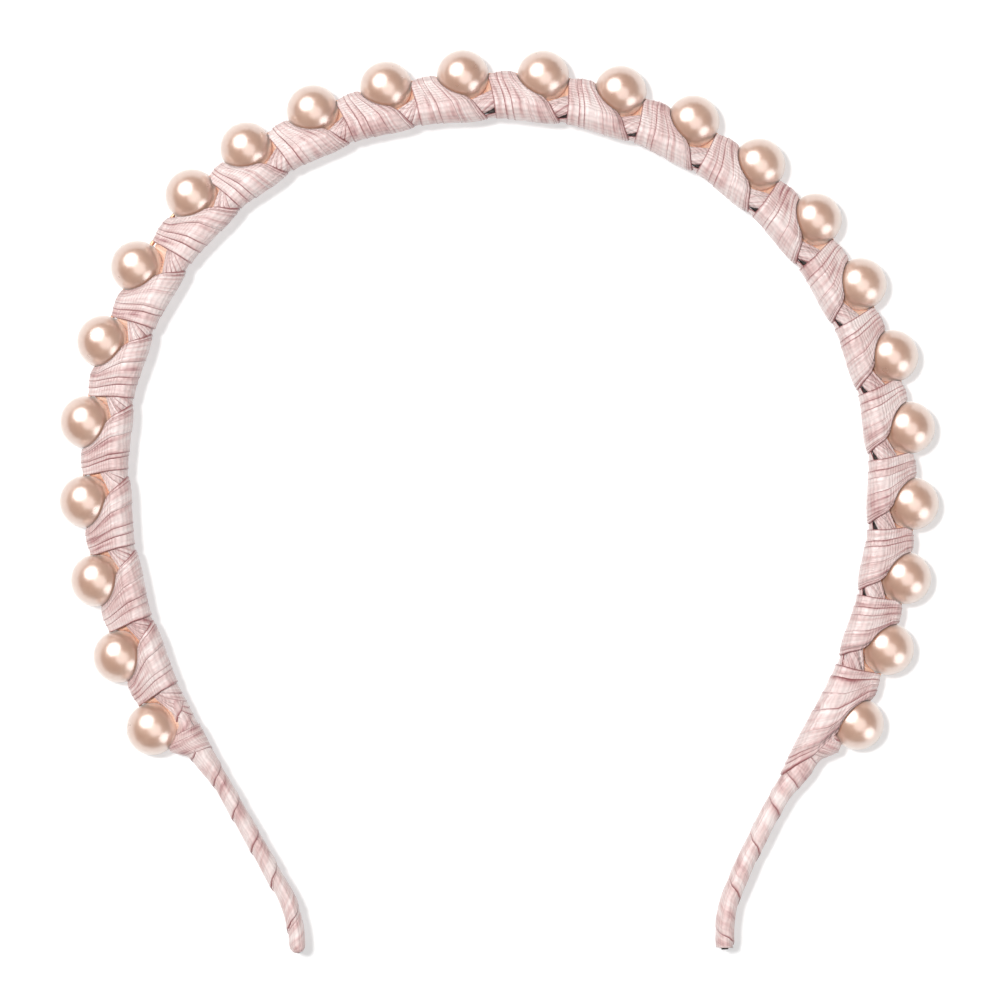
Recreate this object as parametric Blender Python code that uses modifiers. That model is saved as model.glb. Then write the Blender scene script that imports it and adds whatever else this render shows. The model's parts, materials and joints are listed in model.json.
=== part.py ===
"""Pearl headband: a steel alice band wrapped in satin ribbon, with beads strung along its outside.

The band lies flat on its edge, as it would on a table: +Y towards the crown, +Z up, tips at -Y.
A place on it is (u, v, z): u along the core line from the crown, positive to the right;
v away from the head; z up from the middle of the band's width.
"""
import math

import bmesh
import bpy
from mathutils import Vector

MM = 0.001

# The core line from the crown down to a tip: (radius, length) of each bend. A negative radius bends outwards.
RIGHT_BENDS = (
    (57 * MM, 88.3 * MM), (75.8 * MM, 38 * MM), (math.inf, 27 * MM), (-21 * MM, 11.6 * MM),
)
LEFT_BENDS = (
    (76 * MM, 19 * MM), (52.5 * MM, 68.5 * MM), (79 * MM, 42 * MM), (math.inf, 30 * MM),
    (-17 * MM, 9.4 * MM),
)

CORE_THICKNESS = 1.0 * MM
CORE_WIDTH = 5.0 * MM
CORE_CLEARANCE = 0.15 * MM
CORE_TIP = 0.5 * MM  # bare steel past the end of each leg's wrap

PEARL_DIAMETER = 8.0 * MM
PEARL_BORE = 1.2 * MM
PEARL_CLEARANCE = 0.3 * MM
PEARLS_PER_SIDE = 12
PITCH_LEFT = 12.1 * MM  # along the bead wire
PITCH_RIGHT = 11.98 * MM
CROWN_PITCH = 12.24 * MM
HAND_STRUNG = {  # gaps that came out wide or narrow, by the number of the pearl before each
    5: 0.4 * MM, 6: 0.4 * MM, 7: 1.6 * MM, 8: -1.1 * MM, 9: -0.5 * MM, 10: -0.4 * MM, 11: -0.3 * MM,
    19: -0.8 * MM, 20: -0.4 * MM, 21: -0.6 * MM, 22: -0.9 * MM, 23: 0.3 * MM,
}

WIRE_DIAMETER = 0.6 * MM
WIRE_CLEARANCE = 0.3 * MM

RIBBON_OUTSIDE = 1.0 * MM  # core line to the band's outer face, under a pearl
RIBBON_INSIDE = 1.5 * MM  # core line to the face that touches the head
RIBBON_WIDTH = 8.2 * MM
RIBBON_OVER_WIRE = 0.65 * MM  # height of the turns over the wire
TURNS_OVER_WIRE_WIDTH = 3.2 * MM
TURN_GAP = 0.3 * MM

LEG_WIDTH = CORE_WIDTH + 0.8 * MM
LEFT_LEG_HALF_THICKNESS = 1.15 * MM
RIGHT_LEG_HALF_THICKNESS = 1.5 * MM
RIGHT_BUNDLE_HEIGHT = 2.6 * MM  # turns heaped up beside the last pearl on the right
LEG_TAPER_START = 4.5 * MM
LEG_TAPER_END = 12.0 * MM
LEG_TOP_HEIGHT = 0.05 * MM  # how far the middle of a leg's outer face stands above its edges

HINGE_PEARLS = {"left_shoulder": 9, "left_leg": 5, "right_shoulder": 16, "right_leg": 20}
HINGE_GAP = 0.6 * MM

LINE_STEP = 4.0 * MM
LEG_STEP = 3.0 * MM
CUTTER_OVERSHOOT = 2.0 * MM
WELD_DISTANCE = 0.001 * MM
EMPTY_SIZE = 5.0 * MM
PEARL_OUTLINE_STEPS = 8
PEARL_TURN_STEPS = 14
POCKET_SEGMENTS, POCKET_RINGS = 20, 10

PEARL_COUNT = 2 * PEARLS_PER_SIDE
PEARL_RADIUS = PEARL_DIAMETER / 2
WIRE_OFFSET = RIBBON_OUTSIDE + PEARL_CLEARANCE + PEARL_RADIUS


# ---------------------------------------------------------------- the line

def walk(bends, distance):
    """Point and heading after a distance from the crown, on the side that runs towards +X."""
    x, y, heading = 0.0, 0.0, 0.0
    for radius, length in bends:
        step = min(length, distance)
        turn = step / radius
        chord = 2 * radius * math.sin(turn / 2) if turn else step
        x += chord * math.cos(heading - turn / 2)
        y += chord * math.sin(heading - turn / 2)
        heading -= turn
        distance -= step
    x += distance * math.cos(heading)
    y += distance * math.sin(heading)
    return x, y, heading


def frame_at(u):
    """Point on the core line, the direction towards the right tip, and the direction away from the head."""
    x, y, heading = walk(RIGHT_BENDS if u >= 0 else LEFT_BENDS, abs(u))
    if u < 0:
        x, heading = -x, -heading
    along = Vector((math.cos(heading), math.sin(heading), 0))
    outward = Vector((-along.y, along.x, 0))
    return Vector((x, y, 0)), along, outward


def place(u, v, z=0.0):
    point, _, outward = frame_at(u)
    return point + v * outward + Vector((0, 0, z))


def bend_at(u):
    """Curvature of the core line, positive where it bends around the head."""
    distance = abs(u)
    for radius, length in RIGHT_BENDS if u >= 0 else LEFT_BENDS:
        if distance <= length:
            return 1 / radius
        distance -= length
    return 0.0


def step_on_wire(u, length):
    """The u that lies a signed length further along the bead wire."""
    parts = 12
    for _ in range(parts):
        u += length / parts / (1 + WIRE_OFFSET * bend_at(u))
    return u


def line_end(bends):
    return sum(length for _, length in bends)


def pearl_stations():
    """u of every pearl, from number 1 at the left tip to the last at the right."""
    left = [step_on_wire(0.0, -CROWN_PITCH / 2)]
    right = [step_on_wire(0.0, CROWN_PITCH / 2)]
    for i in range(1, PEARLS_PER_SIDE):
        left_pitch = PITCH_LEFT + HAND_STRUNG.get(PEARLS_PER_SIDE - i, 0.0)
        right_pitch = PITCH_RIGHT + HAND_STRUNG.get(PEARLS_PER_SIDE + i, 0.0)
        left.append(step_on_wire(left[-1], -left_pitch))
        right.append(step_on_wire(right[-1], right_pitch))
    return left[::-1] + right


def spread(start, end, step=LINE_STEP):
    count = max(2, round(abs(end - start) / step))
    return [start + (end - start) * i / count for i in range(count + 1)]


STATIONS = pearl_stations()
LEFT_TIP = -line_end(LEFT_BENDS)
RIGHT_TIP = line_end(RIGHT_BENDS)


def pearl_u(number):
    return STATIONS[number - 1]


# ---------------------------------------------------------------- scene, materials and helpers

for old in list(bpy.data.objects):
    bpy.data.objects.remove(old)

parts = bpy.data.collections.new("headband")
cutters = bpy.data.collections.new("cutters")
bpy.context.scene.collection.children.link(parts)
bpy.context.scene.collection.children.link(cutters)


def make_material(name, colour, roughness, metallic=0.0):
    material = bpy.data.materials.new(name)
    material.use_nodes = True
    shader = material.node_tree.nodes["Principled BSDF"]
    shader.inputs["Base Color"].default_value = (*colour, 1)
    shader.inputs["Roughness"].default_value = roughness
    shader.inputs["Metallic"].default_value = metallic
    return material


def pearl_material(name):
    return make_material(name, (0.80, 0.66, 0.56), 0.18)


def satin_material(name):
    return make_material(name, (0.80, 0.56, 0.53), 0.45)


def steel_material(name):
    return make_material(name, (0.36, 0.35, 0.34), 0.38, 1.0)


def add_part(name, data, material, body):
    obj = bpy.data.objects.new(name, data)
    data.materials.clear()
    data.materials.append(material(name))
    parts.objects.link(obj)
    hold(obj, body)
    return obj


def add_cutter(name, data):
    obj = bpy.data.objects.new(name, data)
    cutters.objects.link(obj)
    obj.hide_render = True
    obj.display_type = "WIRE"
    hold(obj, "crown")
    return obj


def hold(obj, body):
    """Parent an object to its body's empty, keeping the place it has on the line."""
    obj.parent = bodies[body]
    obj.matrix_parent_inverse = body_matrices[body].inverted()


def cut(obj, *tools):
    for tool in tools:
        modifier = obj.modifiers.new(tool.name, "BOOLEAN")
        modifier.operation = "DIFFERENCE"
        modifier.solver = "EXACT"
        modifier.object = tool


def outline_strip(name, start, end, thickness, width):
    """A strip that follows the core line: its flat outline, extruded to the band's width."""
    stations = spread(start, end)
    points = [place(u, -thickness / 2) for u in stations]
    points += [place(u, thickness / 2) for u in reversed(stations)]
    curve = bpy.data.curves.new(name, "CURVE")
    curve.dimensions = "2D"
    curve.fill_mode = "BOTH"
    curve.extrude = width / 2
    spline = curve.splines.new("POLY")
    spline.points.add(len(points) - 1)
    for spot, point in zip(spline.points, points):
        spot.co = (*point, 1)
    spline.use_cyclic_u = True
    return curve


def wire_curve(name, start, end, diameter):
    curve = bpy.data.curves.new(name, "CURVE")
    curve.dimensions = "3D"
    curve.bevel_depth = diameter / 2
    curve.bevel_resolution = 2
    curve.use_fill_caps = True
    points = [place(u, WIRE_OFFSET) for u in spread(start, end)]
    spline = curve.splines.new("POLY")
    spline.points.add(len(points) - 1)
    for spot, point in zip(spline.points, points):
        spot.co = (*point, 1)
    return curve


def mesh_of(curve):
    """The welded mesh of a curve, ready to be a cutter."""
    temporary = bpy.data.objects.new(curve.name, curve)
    bpy.context.scene.collection.objects.link(temporary)
    depsgraph = bpy.context.evaluated_depsgraph_get()
    mesh = bpy.data.meshes.new_from_object(temporary.evaluated_get(depsgraph))
    bpy.data.objects.remove(temporary)
    solid = bmesh.new()
    solid.from_mesh(mesh)
    bmesh.ops.remove_doubles(solid, verts=solid.verts, dist=WELD_DISTANCE)
    bmesh.ops.recalc_face_normals(solid, faces=solid.faces)
    solid.to_mesh(mesh)
    solid.free()
    return mesh


def loft(name, rings):
    """A closed solid through rings of equally many points."""
    solid = bmesh.new()
    loops = [[solid.verts.new(point) for point in ring] for ring in rings]
    for near, far in zip(loops, loops[1:]):
        for i in range(len(near)):
            j = (i + 1) % len(near)
            solid.faces.new((near[i], near[j], far[j], far[i]))
    solid.faces.new(loops[0])
    solid.faces.new(loops[-1])
    bmesh.ops.recalc_face_normals(solid, faces=solid.faces)
    mesh = bpy.data.meshes.new(name)
    solid.to_mesh(mesh)
    solid.free()
    return mesh


# ---------------------------------------------------------------- bodies: sprung hinges at four pearls

def make_empty(name, location, parent=None):
    empty = bpy.data.objects.new(name, None)
    bpy.context.scene.collection.objects.link(empty)
    empty.empty_display_size = EMPTY_SIZE
    empty.parent = parent
    empty.location = location
    return empty


def make_bodies():
    """The crown's empty, and one on each hinge, each under the one that carries it."""
    empties = {"crown": make_empty("headband_frame", (0, 0, 0))}
    places = {"crown": Vector((0, 0, 0))}
    for side in ("left", "right"):
        carrier = "crown"
        for part in ("shoulder", "leg"):
            body = f"{side}_{part}"
            places[body] = place(pearl_u(HINGE_PEARLS[body]), WIRE_OFFSET)
            local = places[body] - places[carrier]
            empties[body] = make_empty(f"{body}_hinge", local, empties[carrier])
            carrier = body
    return empties


bodies = make_bodies()
bpy.context.view_layer.update()
body_matrices = {name: empty.matrix_world.copy() for name, empty in bodies.items()}


def body_of_pearl(number):
    """A hinge pearl stays with the body nearer the crown."""
    if number < HINGE_PEARLS["left_leg"]:
        return "left_leg"
    if number < HINGE_PEARLS["left_shoulder"]:
        return "left_shoulder"
    if number > HINGE_PEARLS["right_leg"]:
        return "right_leg"
    if number > HINGE_PEARLS["right_shoulder"]:
        return "right_shoulder"
    return "crown"


def body_of_gap(number):
    """The gap after a pearl moves with whichever of its two pearls is further from the crown."""
    return body_of_pearl(number if number <= PEARLS_PER_SIDE else number + 1)


def seam_gap(number):
    """Room between the turns on both sides of a pearl."""
    return HINGE_GAP if number in HINGE_PEARLS.values() else TURN_GAP


# ---------------------------------------------------------------- cutters

def make_channels():
    """The ways through the ribbon for the core strip and for the bead wire."""
    slot = outline_strip(
        "core_channel", LEFT_TIP - CUTTER_OVERSHOOT, RIGHT_TIP + CUTTER_OVERSHOOT,
        CORE_THICKNESS + 2 * CORE_CLEARANCE, CORE_WIDTH + 2 * CORE_CLEARANCE,
    )
    tunnel = wire_curve(
        "wire_channel", pearl_u(1), pearl_u(PEARL_COUNT), WIRE_DIAMETER + 2 * WIRE_CLEARANCE,
    )
    return add_cutter("core_channel", mesh_of(slot)), add_cutter("wire_channel", mesh_of(tunnel))


def make_pocket(number):
    """Room for one pearl between the turns of ribbon."""
    ball = bmesh.new()
    radius = PEARL_RADIUS + PEARL_CLEARANCE
    bmesh.ops.create_uvsphere(ball, u_segments=POCKET_SEGMENTS, v_segments=POCKET_RINGS, radius=radius)
    mesh = bpy.data.meshes.new(f"pocket_{number:02d}")
    ball.to_mesh(mesh)
    ball.free()
    pocket = add_cutter(mesh.name, mesh)
    pocket.location = place(pearl_u(number), WIRE_OFFSET)
    return pocket


# ---------------------------------------------------------------- parts

def make_pearl_mesh():
    """Half outline of a drilled ball, turned about its bore by the Screw modifier on each pearl."""
    bore = PEARL_BORE / 2
    first = math.asin(bore / PEARL_RADIUS)
    outline = bmesh.new()
    angles = spread(first, math.pi - first, (math.pi - 2 * first) / PEARL_OUTLINE_STEPS)
    verts = [
        outline.verts.new((PEARL_RADIUS * math.sin(a), 0, PEARL_RADIUS * math.cos(a))) for a in angles
    ]
    for near, far in zip(verts, verts[1:] + verts[:1]):
        outline.edges.new((near, far))
    mesh = bpy.data.meshes.new("pearl")
    outline.to_mesh(mesh)
    outline.free()
    return mesh


def make_pearl(number, mesh):
    u = pearl_u(number)
    _, along, _ = frame_at(u)
    pearl = add_part(f"pearl_{number:02d}", mesh.copy(), pearl_material, body_of_pearl(number))
    pearl.location = place(u, WIRE_OFFSET)
    pearl.rotation_euler = (math.pi / 2, 0, math.atan2(along.y, along.x) + math.pi / 2)
    turn = pearl.modifiers.new("turn", "SCREW")
    turn.axis = "Z"
    turn.angle = 2 * math.pi
    turn.steps = PEARL_TURN_STEPS
    turn.render_steps = PEARL_TURN_STEPS
    turn.use_merge_vertices = True
    turn.merge_threshold = WELD_DISTANCE
    turn.use_normal_calculate = True


def turns_section(inside, outside, width, top, top_width):
    """Section of the wrapped band: full width around the core, narrowing up to the wire."""
    half = width / 2
    return [
        (-inside, -half), (-inside, half), (outside, half),
        (top, top_width / 2), (top, -top_width / 2), (outside, -half),
    ]


def ring_at(u, section):
    return [place(u, v, z) for v, z in section]


def make_turns(number, pockets, channels):
    """The turns of ribbon between one pearl and the next."""
    start = pearl_u(number) + seam_gap(number) / 2
    end = pearl_u(number + 1) - seam_gap(number + 1) / 2
    section = turns_section(
        RIBBON_INSIDE, RIBBON_OUTSIDE, RIBBON_WIDTH,
        WIRE_OFFSET + RIBBON_OVER_WIRE, TURNS_OVER_WIRE_WIDTH,
    )
    name = f"ribbon_turns_{number:02d}"
    mesh = loft(name, [ring_at(u, section) for u in spread(start, end)])
    turns = add_part(name, mesh, satin_material, body_of_gap(number))
    cut(turns, pockets[number], pockets[number + 1], *channels)


def leg_sections(half_thickness, heap):
    """(distance from the last pearl, section) from the pearl down to where the leg is plain."""
    def section(inside, outside, width, height):
        return turns_section(inside, outside, width, outside + height, width / 2)

    head = section(RIBBON_INSIDE, RIBBON_OUTSIDE, RIBBON_WIDTH, LEG_TOP_HEIGHT)
    heaped = section(RIBBON_INSIDE, RIBBON_OUTSIDE, RIBBON_WIDTH, heap)
    plain = section(half_thickness, half_thickness, LEG_WIDTH, LEG_TOP_HEIGHT)
    return [(0.0, head), (LEG_TAPER_START, heaped), (LEG_TAPER_END, plain)]


def make_leg_wrap(side, number, tip, half_thickness, heap, pockets, channels):
    """The ribbon wound down one leg, from the last pearl to the tip."""
    sign = 1 if tip > 0 else -1
    first = pearl_u(number) + sign * TURN_GAP / 2
    sections = leg_sections(half_thickness, heap)
    rings = [ring_at(first + sign * distance, section) for distance, section in sections]
    plain = sections[-1][1]
    rest = spread(first + sign * LEG_TAPER_END, tip - sign * CORE_TIP, LEG_STEP)
    rings += [ring_at(u, plain) for u in rest[1:]]
    name = f"{side}_leg_wrap"
    wrap = add_part(name, loft(name, rings), satin_material, f"{side}_leg")
    cut(wrap, pockets[number], channels[0])


def make_core(name, start, end, body):
    curve = outline_strip(name, start, end, CORE_THICKNESS, CORE_WIDTH)
    add_part(name, curve, steel_material, body)


def make_cores():
    """The spring strip, in the lengths between the hinges."""
    half = HINGE_GAP / 2
    hinge_order = ("left_leg", "left_shoulder", "right_shoulder", "right_leg")
    left_leg, left_shoulder, right_shoulder, right_leg = (
        pearl_u(HINGE_PEARLS[body]) for body in hinge_order
    )
    make_core("core_left_leg", LEFT_TIP, left_leg - half, "left_leg")
    make_core("core_left_shoulder", left_leg + half, left_shoulder - half, "left_shoulder")
    make_core("core_crown", left_shoulder + half, right_shoulder - half, "crown")
    make_core("core_right_shoulder", right_shoulder + half, right_leg - half, "right_shoulder")
    make_core("core_right_leg", right_leg + half, RIGHT_TIP, "right_leg")


def make_wires():
    """The bead wire: each length ends at the outer side of a hinge pearl, or of the last pearl."""
    def past(number, sign, distance):
        return step_on_wire(pearl_u(number), sign * distance)

    before_bore = PEARL_RADIUS + WIRE_CLEARANCE
    in_bore = PEARL_RADIUS - WIRE_CLEARANCE
    lengths = (
        (
            "wire_left_leg", past(1, -1, in_bore),
            past(HINGE_PEARLS["left_leg"], -1, before_bore), "left_leg",
        ),
        (
            "wire_left_shoulder", past(HINGE_PEARLS["left_leg"], -1, in_bore),
            past(HINGE_PEARLS["left_shoulder"], -1, before_bore), "left_shoulder",
        ),
        (
            "wire_crown", past(HINGE_PEARLS["left_shoulder"], -1, in_bore),
            past(HINGE_PEARLS["right_shoulder"], 1, in_bore), "crown",
        ),
        (
            "wire_right_shoulder", past(HINGE_PEARLS["right_shoulder"], 1, before_bore),
            past(HINGE_PEARLS["right_leg"], 1, in_bore), "right_shoulder",
        ),
        (
            "wire_right_leg", past(HINGE_PEARLS["right_leg"], 1, before_bore),
            past(PEARL_COUNT, 1, in_bore), "right_leg",
        ),
    )
    for name, start, end, body in lengths:
        add_part(name, wire_curve(name, start, end, WIRE_DIAMETER), steel_material, body)


def centre_on_origin():
    """Stand the band on z = 0 with the middle of its box over the origin."""
    bpy.context.view_layer.update()
    depsgraph = bpy.context.evaluated_depsgraph_get()
    points = []
    for obj in parts.objects:
        solid = obj.evaluated_get(depsgraph)
        points += [solid.matrix_world @ vertex.co for vertex in solid.to_mesh().vertices]
        solid.to_mesh_clear()
    low = Vector([min(point[i] for point in points) for i in range(3)])
    high = Vector([max(point[i] for point in points) for i in range(3)])
    bodies["crown"].location = (-(low.x + high.x) / 2, -(low.y + high.y) / 2, -low.z)


channels = make_channels()
pockets = {number: make_pocket(number) for number in range(1, PEARL_COUNT + 1)}
pearl_mesh = make_pearl_mesh()
for number in range(1, PEARL_COUNT + 1):
    make_pearl(number, pearl_mesh)
for number in range(1, PEARL_COUNT):
    make_turns(number, pockets, channels)
make_leg_wrap("left", 1, LEFT_TIP, LEFT_LEG_HALF_THICKNESS, LEG_TOP_HEIGHT, pockets, channels)
make_leg_wrap(
    "right", PEARL_COUNT, RIGHT_TIP, RIGHT_LEG_HALF_THICKNESS, RIGHT_BUNDLE_HEIGHT, pockets, channels,
)
make_cores()
make_wires()
centre_on_origin()
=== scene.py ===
"""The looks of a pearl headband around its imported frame: wound satin ribbon and strung pearls.

A place on the band is (s, v, z): s along the core strip from the left tip to the right one,
v away from the head, z above the middle of the band's width.
"""
import json
import math
import bpy
import numpy as np
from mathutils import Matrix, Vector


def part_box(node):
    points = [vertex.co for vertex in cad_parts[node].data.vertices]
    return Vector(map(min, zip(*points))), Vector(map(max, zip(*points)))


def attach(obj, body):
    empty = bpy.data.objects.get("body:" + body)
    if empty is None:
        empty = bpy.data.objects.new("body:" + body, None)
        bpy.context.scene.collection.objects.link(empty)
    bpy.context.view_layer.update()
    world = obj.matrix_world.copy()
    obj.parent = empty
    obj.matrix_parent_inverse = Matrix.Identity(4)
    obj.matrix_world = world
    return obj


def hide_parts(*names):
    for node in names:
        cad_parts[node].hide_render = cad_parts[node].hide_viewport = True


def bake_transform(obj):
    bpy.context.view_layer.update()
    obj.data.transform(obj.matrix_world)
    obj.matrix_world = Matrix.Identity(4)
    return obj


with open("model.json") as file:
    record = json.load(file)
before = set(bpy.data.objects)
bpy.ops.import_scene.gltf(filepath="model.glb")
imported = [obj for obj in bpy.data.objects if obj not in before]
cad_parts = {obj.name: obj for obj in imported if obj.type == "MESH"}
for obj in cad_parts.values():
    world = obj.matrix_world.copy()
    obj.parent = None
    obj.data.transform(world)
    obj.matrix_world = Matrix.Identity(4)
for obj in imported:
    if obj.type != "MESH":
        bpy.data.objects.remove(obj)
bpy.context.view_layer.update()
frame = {"nodes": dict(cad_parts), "record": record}

MM = 0.001
CORE_NODES = ("core_left_leg", "core_left_shoulder", "core_crown", "core_right_shoulder", "core_right_leg")
PEARL_COUNT = 24
STRIP_THICKNESS = 1.0 * MM

RIBBON_THICKNESS = 0.18 * MM
# The ribs of a real satin ribbon a quarter inch wide are 0.2 mm apart. That is too fine to show, so they are
# drawn coarser.
RIB_SPACING = 0.42 * MM
SELVEDGE_RISE = 0.06 * MM

# Half sections of what the turns go round, from the middle of the inner face to the middle of the outer
# one: corners (v, z) in millimetres, and how far from each of the three middle corners its rounding starts.
GAP_SECTION = (((-0.6, 0), (-0.6, 1.9), (0.5, 2.75), (4.9, 0.9), (4.9, 0)), (0.65, 0.65, 0.6))
FLAT_SECTION = (((-0.6, 0), (-0.6, 1.9), (0.4, 2.75), (1.1, 2.2), (1.1, 0)), (0.65, 0.4, 0.4))
CUFF_SECTION = (((-0.6, 0), (-0.6, 1.9), (0.5, 2.75), (4.0, 2.2), (4.0, 0)), (0.65, 0.65, 1.2))
SHOULDER_SECTION = (((-0.6, 0), (-0.6, 1.9), (0.3, 2.75), (2.0, 2.2), (2.0, 0)), (0.65, 0.55, 1.0))
LEFT_LEG_SECTION = (((-0.58, 0), (-0.58, 2.1), (0.1, 2.75), (1.05, 2.1), (1.05, 0)), (0.4, 0.5, 0.6))
RIGHT_LEG_SECTION = (((-0.85, 0), (-0.85, 2.0), (0, 2.8), (0.85, 2.0), (0.85, 0)), (0.6, 0.6, 0.6))
SECTION_SAMPLES = 120
TIP_SPARE = 2 * MM  # how far the line runs straight on past each end of the core

BODY_OF_HINGE_PEARL = {5: ("left_leg", "left_shoulder"), 9: ("left_shoulder", "crown"),
                       16: ("crown", "right_shoulder"), 20: ("right_shoulder", "right_leg")}

HINGE_REACH = 5 * MM  # the short sleeve lengths at a hinge pearl reach this far on both sides of its middle

rng = np.random.default_rng(24)


# ---------------------------------------------------------------- the line of the core, read from the frame

def unit(vector):
    """The vector at length 1."""
    return vector / np.linalg.norm(vector)


def node_points(name):
    """Every vertex of a CAD node."""
    mesh = frame["nodes"][name].data
    points = np.empty(len(mesh.vertices) * 3, np.float32)
    mesh.vertices.foreach_get("co", points)
    return points.reshape(-1, 3).astype(float)


def strip_middles(name):
    """Middles of a core strip's crosswise edges: halfway between outline points about one thickness apart."""
    points = node_points(name)
    rim_depth = 0.1 * MM
    outline = points[points[:, 2] > points[:, 2].max() - rim_depth, :2]
    outline = np.unique(np.round(outline, 6), axis=0)
    gaps = np.linalg.norm(outline[:, None] - outline[None], axis=2)
    first, second = np.nonzero(np.triu(gaps < 1.3 * STRIP_THICKNESS, 1))
    return (outline[first] + outline[second]) / 2


def smooth_through(points, between=30):
    """Cubic Hermite spans through the points; each slope is taken from the neighbours on both sides."""
    reach = np.r_[0, np.cumsum(np.linalg.norm(np.diff(points, axis=0), axis=1))]
    slope = np.gradient(points, reach, axis=0)
    span = np.diff(reach)[None, :, None]
    t = (np.arange(between) / between)[:, None, None]
    start, end, leave, arrive = points[:-1], points[1:], slope[:-1] * span, slope[1:] * span
    curve = (
        (2 * t**3 - 3 * t**2 + 1) * start + (t**3 - 2 * t**2 + t) * leave
        + (3 * t**2 - 2 * t**3) * end + (t**3 - t**2) * arrive
    )
    return np.vstack([curve.transpose(1, 0, 2).reshape(-1, 2), points[-1:]])


def read_core_line():
    """The core's middle line from the left tip to the right one: points, distances, outward directions."""
    middles = np.vstack([strip_middles(name) for name in CORE_NODES])
    clockwise = np.mod(np.arctan2(-middles[:, 0], -middles[:, 1]), 2 * math.pi)
    points = smooth_through(middles[np.argsort(clockwise)])
    before = points[0] + unit(points[0] - points[1]) * TIP_SPARE
    after = points[-1] + unit(points[-1] - points[-2]) * TIP_SPARE
    points = np.vstack([before, points, after])
    distance = np.r_[0, np.cumsum(np.linalg.norm(np.diff(points, axis=0), axis=1))]
    along = np.gradient(points, distance, axis=0)
    along /= np.linalg.norm(along, axis=1, keepdims=True)
    return points, distance - TIP_SPARE, np.column_stack([-along[:, 1], along[:, 0]])


LINE, LINE_S, LINE_OUT = read_core_line()
PEARL_BOXES = [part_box(f"pearl_{number:02d}") for number in range(1, PEARL_COUNT + 1)]
PEARLS = np.array([(low + high) / 2 for low, high in PEARL_BOXES])
PEARL_RADIUS = max(max(high - low) for low, high in PEARL_BOXES) / 2
MIDDLE_Z = PEARLS[0, 2]
PEARL_S = np.array([LINE_S[np.argmin(np.linalg.norm(LINE - pearl[:2], axis=1))] for pearl in PEARLS])
WIRE_V = float(np.mean([np.linalg.norm(LINE - pearl[:2], axis=1).min() for pearl in PEARLS]))
WIRE_RADIUS = float(np.ptp(node_points("wire_crown")[:, 2])) / 2
TIP_S = LINE_S[-1] - TIP_SPARE


def place(s, v, z):
    """Points at s along the line, v outwards from it and z above the band's middle."""
    s, v, z = np.broadcast_arrays(s, v, z)
    x, y = (np.interp(s, LINE_S, LINE[:, i]) + v * np.interp(s, LINE_S, LINE_OUT[:, i]) for i in range(2))
    return np.stack([x, y, z + MIDDLE_Z], axis=-1)


# ---------------------------------------------------------------- objects and meshes

def add_object(name, data):
    """A new object in the scene that shows the mesh, light or camera."""
    obj = bpy.data.objects.new(name, data)
    bpy.context.scene.collection.objects.link(obj)
    return obj


def make_piece(name, points, faces, uvs, material):
    """A mesh piece from arrays: points (n, 3), quads (m, 4) and one uv pair for each corner (m, 4, 2)."""
    mesh = bpy.data.meshes.new(name)
    mesh.vertices.add(len(points))
    mesh.vertices.foreach_set("co", np.asarray(points, np.float32).ravel())
    mesh.loops.add(faces.size)
    mesh.loops.foreach_set("vertex_index", faces.astype(np.int32).ravel())
    mesh.polygons.add(len(faces))
    mesh.polygons.foreach_set("loop_start", np.arange(0, faces.size, 4, dtype=np.int32))
    mesh.polygons.foreach_set("loop_total", np.full(len(faces), 4, np.int32))
    mesh.update(calc_edges=True)
    mesh.validate()
    layer = mesh.uv_layers.new(name="UVMap")
    layer.data.foreach_set("uv", np.asarray(uvs, np.float32).ravel())
    mesh.polygons.foreach_set("use_smooth", np.ones(len(faces), bool))
    mesh.materials.append(material)
    return add_object(name, mesh)


def ring_grid(points, u, v, closed):
    """Quads over a grid of rings, each closed on itself, and their uvs: u along the rows, v round a ring.

    The points are (rows, columns, 3), and v has one more value than there are columns. With closed, the last
    row joins the first, and u has one more value than there are rows.
    """
    rows, columns = points.shape[:2]
    i = np.arange(rows if closed else rows - 1)[:, None]
    j = np.arange(columns)[None, :]
    next_i, next_j = (i + 1) % rows, (j + 1) % columns
    index = np.stack([
        i * columns + j, next_i * columns + j, next_i * columns + next_j, i * columns + next_j,
    ], axis=-1)
    u_here, u_next = u[:-1][:, None] + 0 * j, u[1:][:, None] + 0 * j
    v_here, v_next = v[:-1][None, :] + 0.0 * i, v[1:][None, :] + 0.0 * i
    corners = np.stack([
        np.stack([u_here, v_here], -1), np.stack([u_next, v_here], -1),
        np.stack([u_next, v_next], -1), np.stack([u_here, v_next], -1),
    ], axis=2)
    return index.reshape(-1, 4), corners.reshape(-1, 4, 2)


def end_caps(rows, columns, v):
    """Quads that close the first and last ring of an open strip: each joins a step of its outer face to the
    same step of its inner one.
    """
    half = columns // 2
    j = np.arange(half - 1)
    first = np.stack([j, j + 1, columns - 2 - j, columns - 1 - j], -1)
    last = (rows - 1) * columns + first[:, ::-1]
    uv = np.stack([0 * v[first], v[first]], -1)
    return np.vstack([first, last]), np.vstack([uv, uv])


def join_grids(grids):
    """Several (points, faces, uvs) as one."""
    starts = np.cumsum([0] + [len(points) for points, _, _ in grids[:-1]])
    return (
        np.vstack([points for points, _, _ in grids]),
        np.vstack([faces + start for start, (_, faces, _) in zip(starts, grids)]),
        np.vstack([uvs for _, _, uvs in grids]),
    )


# ---------------------------------------------------------------- materials

def linear(hex_colour):
    """An sRGB hex colour as linear RGBA."""
    parts = [int(hex_colour[i:i + 2], 16) / 255 for i in (1, 3, 5)]
    return (*(c / 12.92 if c <= 0.04045 else ((c + 0.055) / 1.055) ** 2.4 for c in parts), 1.0)


def grey(value):
    """A linear grey as RGBA."""
    return (value, value, value, 1.0)


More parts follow.
